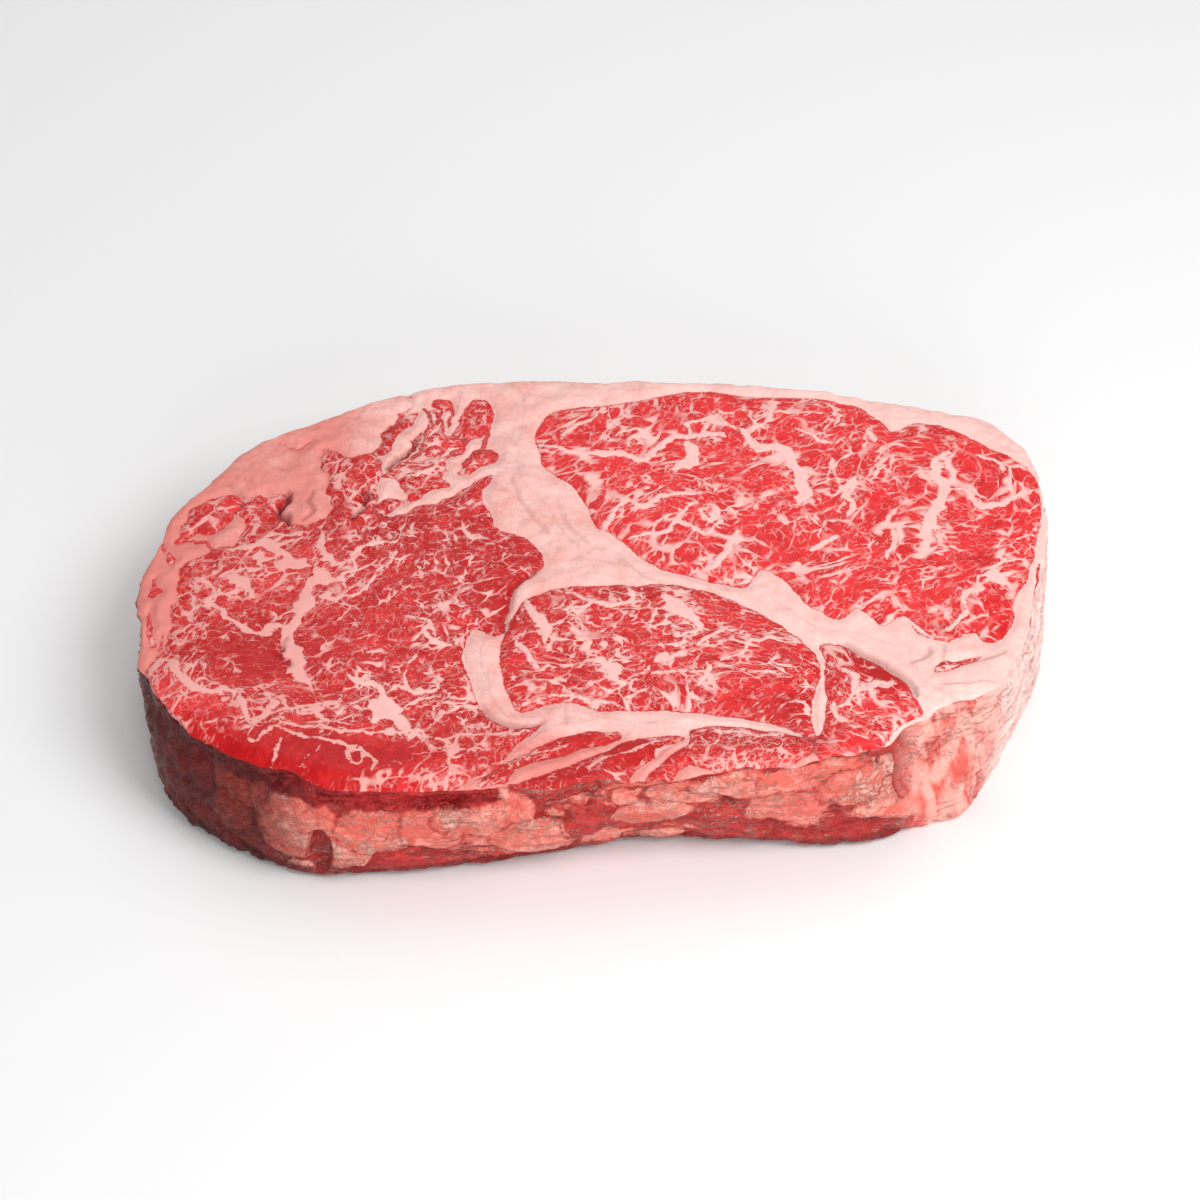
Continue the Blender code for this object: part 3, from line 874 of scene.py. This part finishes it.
def fatNetworkGroup():
    # fat between the bundles of fibres: the borders of bent cells, thick in places, gone in others
    group, given, made = newGroup("fatNetwork", [
        ("Vector", vectorKind, None), ("Cell", scalar, 0.004), ("Width", scalar, 0.1),
        ("Gaps", scalar, 0.45), ("Softness", scalar, 0.01), ("Seed", scalar, 0.0)], [("Fat", scalar)])
    shift = addNode(group, "ShaderNodeCombineXYZ",
                    {0: given["Seed"], 1: given["Seed"], 2: given["Seed"]}).outputs[0]
    moved = addNode(group, "ShaderNodeVectorMath", {0: given["Vector"], 1: shift},
                    operation="ADD").outputs[0]
    perCell = calc(group, "DIVIDE", 1.0, given["Cell"])
    bend = addNode(group, "ShaderNodeTexNoise",
                   {"Vector": moved, "Scale": calc(group, "MULTIPLY", perCell, 0.9),
                                               "Detail": 2.0, "Roughness": 0.5})
    centred = addNode(group, "ShaderNodeVectorMath", {0: bend.outputs["Color"], 1: (0.5, 0.5, 0.5)},
                    operation="SUBTRACT").outputs[0]
    scaled = addNode(group, "ShaderNodeVectorMath",
                     {0: centred, "Scale": calc(group, "MULTIPLY", given["Cell"], 1.1)},
                   operation="SCALE").outputs[0]
    bent = addNode(group, "ShaderNodeVectorMath", {0: moved, 1: scaled}, operation="ADD").outputs[0]
    cells = addNode(group, "ShaderNodeTexVoronoi", {"Vector": bent, "Scale": perCell},
                    feature="DISTANCE_TO_EDGE")
    gaps = addNode(group, "ShaderNodeTexNoise",
                   {"Vector": moved, "Scale": calc(group, "MULTIPLY", perCell, 0.8),
                                               "Detail": 2.0}).outputs["Fac"]
    shownHere = fade(group, gaps, calc(group, "SUBTRACT", given["Gaps"], 0.1),
                     calc(group, "ADD", given["Gaps"], 0.14))
    swelling = addNode(group, "ShaderNodeTexNoise",
                       {"Vector": moved, "Scale": calc(group, "MULTIPLY", perCell, 1.9),
                                                     "Detail": 1.0}).outputs["Fac"]
    width = calc(group, "MULTIPLY", calc(group, "MULTIPLY", shownHere, given["Width"]),
                 fade(group, swelling, 0.36, 0.64, 0.35, 2.1))
    mask = fade(group, cells.outputs["Distance"], calc(group, "MULTIPLY", width, 0.4),
                calc(group, "ADD", calc(group, "MULTIPLY", width, 1.25), given["Softness"]), 1.0, 0.0)
    group.links.new(calc(group, "MULTIPLY", mask, shownHere), made["Fat"])
    return group


def fatSpecksGroup():
    # small soft spots and commas of fat inside the bundles, where a rough field is highest
    group, given, made = newGroup("fatSpecks", [
        ("Vector", vectorKind, None), ("Cell", scalar, 0.0009), ("Amount", scalar, 0.4),
        ("Seed", scalar, 0.0)],
        [("Fat", scalar)])
    shift = addNode(group, "ShaderNodeCombineXYZ",
                    {0: given["Seed"], 1: given["Seed"], 2: given["Seed"]}).outputs[0]
    moved = addNode(group, "ShaderNodeVectorMath", {0: given["Vector"], 1: shift},
                    operation="ADD").outputs[0]
    perCell = calc(group, "DIVIDE", 1.0, given["Cell"])
    field = addNode(group, "ShaderNodeTexNoise", {"Vector": moved, "Scale": perCell, "Detail": 2.0,
                                                "Roughness": 0.5, "Distortion": 0.9}).outputs["Fac"]
    patches = addNode(group, "ShaderNodeTexNoise",
                      {"Vector": moved, "Scale": calc(group, "MULTIPLY", perCell, 0.2),
                                                  "Detail": 2.0}).outputs["Fac"]
    level = calc(group, "SUBTRACT", 0.86, calc(group, "MULTIPLY", given["Amount"], 0.5))
    level = calc(group, "SUBTRACT", level,
                 calc(group, "MULTIPLY", calc(group, "SUBTRACT", patches, 0.5), 0.5))
    mask = fade(group, field, level, calc(group, "ADD", level, 0.09))
    group.links.new(mask, made["Fat"])
    return group


def leanMeatGroup():
    # lean meat: pale pink to deep red in soft patches, with fine fibres
    group, given, made = newGroup("leanMeat", [
        ("Vector", vectorKind, None), ("Depth", scalar, 0.5),
        ("Pale", colourKind, rgb(*tissueColours["leanPale"])),
        ("Deep", colourKind, rgb(*tissueColours["leanDeep"]))], [("Color", colourKind), ("Fibre", scalar)])
    patches = grainNoise(group, given["Vector"], 7 * mm, 3.0, 0.6)
    bundles = grainNoise(group, given["Vector"], 1.4 * mm, 2.0, 0.6)
    fibre = grainNoise(group, stretchBy(group, given["Vector"], (0.3, 1.0, 1.0)), 0.28 * mm, 2.0, 0.7)
    wanted = calc(group, "ADD", given["Depth"],
                  calc(group, "MULTIPLY", calc(group, "SUBTRACT", patches, 0.5), 1.5))
    wanted = calc(group, "ADD", wanted, calc(group, "MULTIPLY", calc(group, "SUBTRACT", bundles, 0.5), 1.3))
    wanted = calc(group, "ADD", wanted, calc(group, "MULTIPLY", calc(group, "SUBTRACT", fibre, 0.5), 0.35))
    group.links.new(tint(group, fade(group, wanted, -0.1, 1.1), given["Pale"], given["Deep"]),
                    made["Color"])
    group.links.new(fibre, made["Fibre"])
    return group


def fatTissueGroup():
    # fat: cream with pink clouds, and the faint borders of its small lobules
    group, given, made = newGroup("fatTissue", [
        ("Vector", vectorKind, None), ("Pink", colourKind, rgb(*tissueColours["fatPink"])),
        ("Cream", colourKind, rgb(*tissueColours["fatCream"])), ("Paleness", scalar, 0.5),
        ("Mottle", scalar, 1.0)],
        [("Color", colourKind), ("Lobules", scalar)])
    clouds = grainNoise(group, given["Vector"], 6 * mm, 4.0, 0.65)
    cells = addNode(group, "ShaderNodeTexVoronoi", {"Vector": given["Vector"], "Scale": 1 / (1.7 * mm)},
                  feature="DISTANCE_TO_EDGE").outputs["Distance"]
    lobules = fade(group, cells, 0.0, 0.12)
    fine = grainNoise(group, given["Vector"], 0.7 * mm, 2.0, 0.6)
    change = calc(group, "ADD", calc(group, "MULTIPLY", calc(group, "SUBTRACT", clouds, 0.5), 1.5),
                  calc(group, "MULTIPLY", calc(group, "SUBTRACT", fine, 0.5), 0.5))
    change = calc(group, "SUBTRACT", change,
                  calc(group, "MULTIPLY", calc(group, "SUBTRACT", 1.0, lobules), 0.14))
    share = calc(group, "ADD", given["Paleness"], calc(group, "MULTIPLY", change, given["Mottle"]))
    colour = tint(group, fade(group, share, 0.0, 1.0), given["Pink"], given["Cream"])
    group.links.new(colour, made["Color"])
    group.links.new(lobules, made["Lobules"])
    return group


def wetFilmGroup():
    # the moist surface: glossier and duller spots, and a fine uneven film
    group, given, made = newGroup("wetFilm", [
        ("Vector", vectorKind, None), ("Dry", scalar, 0.5), ("Wet", scalar, 0.28)],
        [("Roughness", scalar), ("Film", scalar)])
    spots = grainNoise(group, given["Vector"], 2.2 * mm, 3.0, 0.6)
    film = grainNoise(group, given["Vector"], 0.55 * mm, 3.0, 0.55)
    rough = fade(group, spots, 0.35, 0.68, given["Wet"], given["Dry"])
    group.links.new(rough, made["Roughness"])
    group.links.new(film, made["Film"])
    return group


fatNetwork, fatSpecks = fatNetworkGroup(), fatSpecksGroup()
leanMeat, fatTissue, wetFilm = leanMeatGroup(), fatTissueGroup(), wetFilmGroup()


def newMaterial(name):
    material = bpy.data.materials.new(name)
    material.use_nodes = True
    return material, material.node_tree, material.node_tree.nodes["Principled BSDF"]


def centredOn(tree, value, strength):
    # a noise value moved to lie round nought and scaled
    return calc(tree, "MULTIPLY", calc(tree, "SUBTRACT", value, 0.5), strength)


marbling = {
    # size of a bundle, width of its border as a share of it, how broken, softness, strength
    "bundles": (5.8 * mm, 0.060, 0.505, 0.02, 1.0),
    "branches": (3.0 * mm, 0.066, 0.53, 0.03, 0.92),
    "threads": (1.5 * mm, 0.04, 0.52, 0.08, 0.34),
    "specks": (0.75 * mm, 0.41, 0.62),      # size, amount, strength
    "haze": 0.05,                           # pink blur where fat lies just under the cut
    "nearVeins": 0.05,                      # how much more of the network shows beside a vein
    "wetness": (0.50, 0.30),
    "bump": 0.00022,
}


def cutFaceMaterial(name, dullness):
    material, tree, shader = newMaterial(name)
    spot = addNode(tree, "ShaderNodeTexCoord").outputs["Object"]
    grain = read(tree, "grain", vector=True)
    lean, vein, crease = (read(tree, key) for key in ("lean", "vein", "crease"))
    ragged = grainNoise(tree, spot, 0.9 * mm, 3.0, 0.6)
    leanEdge = calc(tree, "ADD", lean, centredOn(tree, ragged, 0.9))
    inLean = fade(tree, leanEdge, -0.12, 0.16)
    veinEdge = calc(tree, "ADD", vein, centredOn(tree, grainNoise(tree, spot, 1.3 * mm, 4.0, 0.65), 1.9))
    inVein = fade(tree, veinEdge, -0.18, 0.16)
    nearVein = fade(tree, vein, -3.0, 0.0, 0.0, marbling["nearVeins"])
    extraFat = read(tree, "extraFat")
    moreFat = calc(tree, "ADD", nearVein, extraFat)
    flecks = inVein
    for seed, key in enumerate(("bundles", "branches", "threads")):
        cell, width, gaps, softness, strength = marbling[key]
        layer = useGroup(tree, fatNetwork, Vector=grain, Cell=cell, Width=width, Softness=softness,
                         Gaps=calc(tree, "SUBTRACT", gaps, moreFat), Seed=0.013 * seed)["Fat"]
        flecks = calc(tree, "MAXIMUM", flecks, calc(tree, "MULTIPLY", layer, strength))
    cell, amount, strength = marbling["specks"]
    specks = useGroup(tree, fatSpecks, Vector=grain, Cell=cell, Seed=0.07,
                      Amount=calc(tree, "ADD", amount, extraFat))["Fat"]
    marbled = calc(tree, "MAXIMUM", flecks, calc(tree, "MULTIPLY", specks, strength))
    fat = calc(tree, "MAXIMUM", marbled, calc(tree, "SUBTRACT", 1.0, inLean))
    meat = useGroup(tree, leanMeat, Vector=grain, Depth=read(tree, "depthOfRed"))
    haze = fade(tree, grainNoise(tree, grain, 3.4 * mm, 2.0, 0.6), 0.42, 0.68, 0.0, marbling["haze"])
    haze = calc(tree, "MULTIPLY", haze, fade(tree, extraFat, -0.2, -0.05))
    leanColour = tint(tree, haze, meat["Color"], rgb(*faceColours["haze"]))
    seamFat = useGroup(tree, fatTissue, Vector=spot, Paleness=read(tree, "paleness"), Mottle=0.6)
    veinFat = tint(tree, 0.5, seamFat["Color"], rgb(*faceColours["vein"]))
    fatColour = tint(tree, inLean, seamFat["Color"], veinFat)
    colour = tint(tree, calc(tree, "POWER", fat, 0.85), leanColour, fatColour)
    # painted shade: a darker red line just inside each muscle's border, along the groove there
    borderShadeLine = fade(tree, calc(tree, "ABSOLUTE", calc(tree, "SUBTRACT", leanEdge, 0.22)), 0.0, 0.34, 0.5,
                   0.0)
    borderShadeLine = calc(tree, "MULTIPLY", borderShadeLine, calc(tree, "SUBTRACT", 1.0, inVein))
    colour = tint(tree, borderShadeLine, colour, rgb(*faceColours["borderShadeLine"]))
    # painted shade: the slits and folds darkened to near-black red
    colour = tint(tree, calc(tree, "MULTIPLY", crease, 0.85), colour, rgb(*faceColours["crease"]))
    tree.links.new(colour, shader.inputs["Base Color"])
    film = useGroup(tree, wetFilm, Vector=spot, Dry=marbling["wetness"][0] + dullness,
                    Wet=marbling["wetness"][1] + dullness)
    tree.links.new(film["Roughness"], shader.inputs["Roughness"])
    height = calc(tree, "ADD", calc(tree, "MULTIPLY", fat, 0.55),
                  calc(tree, "MULTIPLY", meat["Fibre"], 0.35))
    height = calc(tree, "ADD", height, calc(tree, "MULTIPLY", film["Film"], 0.5))
    bump = addNode(tree, "ShaderNodeBump",
                   {"Height": height, "Strength": 0.8, "Distance": marbling["bump"]})
    tree.links.new(bump.outputs[0], shader.inputs["Normal"])
    shader.inputs["IOR"].default_value = 1.36
    return material


def sideMaterial(name):
    material, tree, shader = newMaterial(name)
    spot = addNode(tree, "ShaderNodeTexCoord").outputs["Object"]
    sideFat, driedAndShade, membrane, underRim, foot, crack, inLobule, lobule, tone = (read(tree, key) for key in (
        "sideFat", "driedAndShade", "membrane", "underRim", "foot", "crack", "inLobule", "lobule", "tone"))
    smooth = read(tree, "smooth")
    rough = calc(tree, "SUBTRACT", 1.0, smooth)
    broad = grainNoise(tree, spot, 4.2 * mm, 5.0, 0.62, 0.4)
    fine = grainNoise(tree, spot, 1.3 * mm, 4.0, 0.65, 0.5)
    streaky = grainNoise(tree, stretchBy(tree, spot, (0.45, 0.45, 1.6)), 3.0 * mm, 5.0, 0.62, 1.0)
    fatEdge = calc(tree, "ADD", sideFat, centredOn(tree, broad, 1.6))
    fatEdge = calc(tree, "ADD", fatEdge, centredOn(tree, streaky, 1.4))
    fatEdge = calc(tree, "ADD", fatEdge, centredOn(tree, fine, 0.8))
    inFat = fade(tree, fatEdge, -0.18, 0.30)
    meatSpace = stretchBy(tree, spot, (0.5, 0.5, 1.3))
    meat = useGroup(tree, leanMeat, Vector=meatSpace, Depth=0.6, Pale=rgb(*sideColours["leanPale"]),
                    Deep=rgb(*sideColours["leanDeep"]))
    paleness = calc(tree, "ADD", calc(tree, "MULTIPLY", tone, 0.5), calc(tree, "MULTIPLY", lobule, 0.1))
    paleness = calc(tree, "ADD", paleness, centredOn(tree, streaky, 1.6))
    fat = useGroup(tree, fatTissue, Vector=spot, Paleness=paleness, Mottle=0.9,
                   Pink=rgb(*sideColours["fatPink"]),
                   Cream=rgb(*sideColours["fatCream"]))
    colour = tint(tree, inFat, meat["Color"], fat["Color"])
    # lean strands inside the fat, and pale threads of membrane over everything
    strandEdge = calc(tree, "ABSOLUTE", calc(tree, "SUBTRACT", streaky, 0.47))
    strands = calc(tree, "MULTIPLY", fade(tree, strandEdge, 0.0, 0.035, 1.0, 0.0),
                   fade(tree, broad, 0.42, 0.6))
    colour = tint(tree, calc(tree, "MULTIPLY", strands, 0.55), colour, rgb(*sideColours["strand"]))
    threads = grainNoise(tree, stretchBy(tree, spot, (0.7, 0.7, 2.2)), 5.0 * mm, 6.0, 0.6, 1.4)
    ridge = fade(tree, calc(tree, "ABSOLUTE", calc(tree, "SUBTRACT", threads, 0.5)), 0.0, 0.03, 1.0, 0.0)
    ridge = calc(tree, "MULTIPLY", ridge, fade(tree, grainNoise(tree, spot, 8 * mm, 2.0), 0.40, 0.56))
    colour = tint(tree, calc(tree, "MULTIPLY", ridge, 0.6), colour, rgb(*sideColours["thread"]))
    # long soft streaks where the side is smooth, fanning down from the rim
    fan = grainNoise(tree, addNode(tree, "ShaderNodeMapping", {"Vector": spot, "Rotation": (0.0, 0.45, 0.0),
                                                            "Scale": (1.0, 1.0, 0.16)}).outputs[0],
                                                            3.2 * mm, 4.0, 0.55)
    fanColour = tint(tree, fade(tree, fan, 0.36, 0.60), rgb(*sideColours["fanRed"]),
                     rgb(*sideColours["fanPale"]))
    colour = tint(tree, calc(tree, "MULTIPLY", smooth, 0.8), colour, fanColour)
    # red meat showing in the cracks between lobes and crumbs and round the named lobes, darkened there as
    # painted shade
    crackEdge = calc(tree, "ADD", calc(tree, "MULTIPLY", crack, rough), centredOn(tree, fine, 1.3))
    colour = tint(tree, fade(tree, crackEdge, 0.35, 0.95, 0.0, 0.85), colour, rgb(*sideColours["crack"]))
    # painted shade: darker red in the creases between the small lobules of fat
    lobuleCreaseShade = fade(tree, calc(tree, "ADD", inLobule, centredOn(tree, fine, 0.25)), 0.0, 0.14, 0.6, 0.0)
    lobuleCreaseShade = calc(tree, "MULTIPLY", lobuleCreaseShade, fade(tree, streaky, 0.48, 0.60))
    lobuleCreaseShade = calc(tree, "MULTIPLY", lobuleCreaseShade, rough)
    colour = tint(tree, lobuleCreaseShade, colour, rgb(*sideColours["seam"]))
    # whitish crumbs of fat, in patches
    crumbPlace = calc(tree, "ADD", grainNoise(tree, spot, 13 * mm, 2.0), centredOn(tree, lobule, 0.35))
    crumbPlace = fade(tree, calc(tree, "ADD", crumbPlace, read(tree, "crumbly")), 0.62, 0.76)
    crumb = calc(tree, "MULTIPLY", calc(tree, "MULTIPLY", crumbPlace, inFat), fade(tree, fine, 0.42, 0.58))
    crumb = calc(tree, "MULTIPLY", crumb, rough)
    colour = tint(tree, calc(tree, "MULTIPLY", crumb, 0.6), colour, rgb(*sideColours["crumb"]))
    # deep red band under the rim: real lean, and painted shade under the rim's overhang
    redBandAndShade = useGroup(tree, leanMeat, Vector=meatSpace, Depth=0.75, Pale=rgb(*sideColours["bandPale"]),
                       Deep=rgb(*sideColours["bandDeep"]))
    bandAndShadeEdge = calc(tree, "ADD", underRim, centredOn(tree, broad, 1.3))
    colour = tint(tree, fade(tree, bandAndShadeEdge, 0.35, 0.75), colour, redBandAndShade["Color"])
    # painted shade along the foot of the front side
    footShadeEdge = calc(tree, "ADD", foot, centredOn(tree, broad, 1.4))
    colour = tint(tree, fade(tree, footShadeEdge, 0.3, 0.9, 0.0, 0.85), colour, rgb(*sideColours["foot"]))
    # pale layered membranes at the right end
    films = grainNoise(tree, stretchBy(tree, spot, (0.35, 0.26, 1.9)), 4.0 * mm, 5.0, 0.55, 0.9)
    pale = tint(tree, fade(tree, films, 0.36, 0.56), rgb(*sideColours["filmPink"]),
                rgb(*sideColours["filmPale"]))
    redLine = fade(tree, calc(tree, "ABSOLUTE", calc(tree, "SUBTRACT", films, 0.42)), 0.0, 0.018, 0.6, 0.0)
    redLine = calc(tree, "MULTIPLY", redLine, fade(tree, broad, 0.45, 0.6))
    pale = tint(tree, redLine, pale, rgb(*sideColours["filmLine"]))
    colour = tint(tree, calc(tree, "MULTIPLY", membrane, 0.85), colour, pale)
    # painted shade: the left end multiplied to brown, partly dried meat, partly the shade that falls there
    driedAndShadeColour = tint(tree, 1.0, colour, rgb(*sideColours["driedAndShade"]), "MULTIPLY")
    colour = tint(tree, fade(tree, calc(tree, "ADD", driedAndShade, centredOn(tree, broad, 0.7)), 0.0, 0.75),
                  colour, driedAndShadeColour)
    tree.links.new(colour, shader.inputs["Base Color"])
    film = useGroup(tree, wetFilm, Vector=spot, Dry=0.52, Wet=0.17)
    tree.links.new(film["Roughness"], shader.inputs["Roughness"])
    height = calc(tree, "ADD", calc(tree, "MULTIPLY", crumb, 0.8),
                  calc(tree, "MULTIPLY", film["Film"], 0.9))
    height = calc(tree, "ADD", height, calc(tree, "MULTIPLY", ridge, 0.5))
    height = calc(tree, "ADD", height, calc(tree, "MULTIPLY", fine, 0.8))
    bump = addNode(tree, "ShaderNodeBump", {"Height": height, "Strength": 0.9, "Distance": 0.00045})
    tree.links.new(bump.outputs[0], shader.inputs["Normal"])
    shader.inputs["IOR"].default_value = 1.4
    return material


def addSteak():
    across, deep = sliceShape["columnsAcross"], sliceShape["columnsDeep"]
    share, heading = squareGrid(across, deep)
    facePoints, faceShown = cutFaceSkin(share, heading)
    faces = gridFaces(deep + 1, across + 1, wrap=False)
    cutFacePiece = meshFrom("steak_cut_face", facePoints, faces, faceShown, planUv(facePoints, faces))
    cutFacePiece.data.materials.append(cutFaceMaterial("beefCutFace", 0.0))
    print("cut face:", len(faces), "faces")

    border = borderOrder(across, deep)
    sidePoints, sideShown = sideSkin(heading[border], sliceShape["sideRows"])
    rows, columns = sidePoints.shape[:2]
    sideFaces = gridFaces(rows, columns, wrap=True)[:, ::-1]
    sidePiece = meshFrom("steak_side", sidePoints.reshape(-1, 3), sideFaces, sideShown,
                         stripUv(rows, columns, 4))
    sidePiece.data.materials.append(sideMaterial("beefSide"))
    print("side:", len(sideFaces), "faces")

    underPoints = undersideSkin(share, heading, sidePoints[-1], heading[border])
    underFaces = faces[:, ::-1]
    underPiece = meshFrom("steak_underside", underPoints, underFaces, faceMap(underPoints[:, :2] / mm),
                          planUv(underPoints, underFaces))
    underPiece.data.materials.append(cutFaceMaterial("beefUnderside", 0.1))
    print("underside:", len(underFaces), "faces")

    for piece in (cutFacePiece, sidePiece, underPiece):
        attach(piece, "root")
        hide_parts("steak")


def addFloor():
    bpy.ops.mesh.primitive_plane_add(size=3.0, location=(0, 0, -0.0002))
    floor = bpy.context.object
    floor.name = "floor"
    material, tree, shader = newMaterial("paleFloor")
    shader.inputs["Base Color"].default_value = (*[studio["floor"]] * 3, 1)
    shader.inputs["Roughness"].default_value = 0.9
    floor.data.materials.append(material)


def addLight(name, position, target, size, power):
    light = bpy.data.lights.new(name, "AREA")
    light.shape, light.size, light.energy = "DISK", size, power
    holder = bpy.data.objects.new(name, light)
    bpy.context.scene.collection.objects.link(holder)
    holder.location = position
    aim = np.array(target) - np.array(position)
    holder.rotation_euler = (math.atan2(math.hypot(aim[0], aim[1]), -aim[2]), 0,
                             math.atan2(-aim[0], aim[1]))


def addStudio():
    scene = bpy.context.scene
    scene.view_settings.view_transform = "Standard"
    world = bpy.data.worlds.new("studio")
    world.use_nodes = True
    world.node_tree.nodes["Background"].inputs["Color"].default_value = (1, 1, 1, 1)
    world.node_tree.nodes["Background"].inputs["Strength"].default_value = studio["world"]
    scene.world = world
    for name, light in studio["lights"].items():
        addLight(name, *light)


def addCamera():
    # looks along +Y and down on the slice
    camera = bpy.data.cameras.new("camera")
    camera.lens, camera.sensor_width = cameraView["lens"], 36
    holder = bpy.data.objects.new("camera", camera)
    bpy.context.scene.collection.objects.link(holder)
    target, distance = np.array(cameraView["target"]), cameraView["distance"]
    elevation = math.radians(cameraView["elevation"])
    holder.location = target + distance * np.array([0, -math.cos(elevation), math.sin(elevation)])
    holder.rotation_euler = (math.pi / 2 - elevation, 0, 0)
    bpy.context.scene.camera = holder


addSteak()
addFloor()
addStudio()
addCamera()
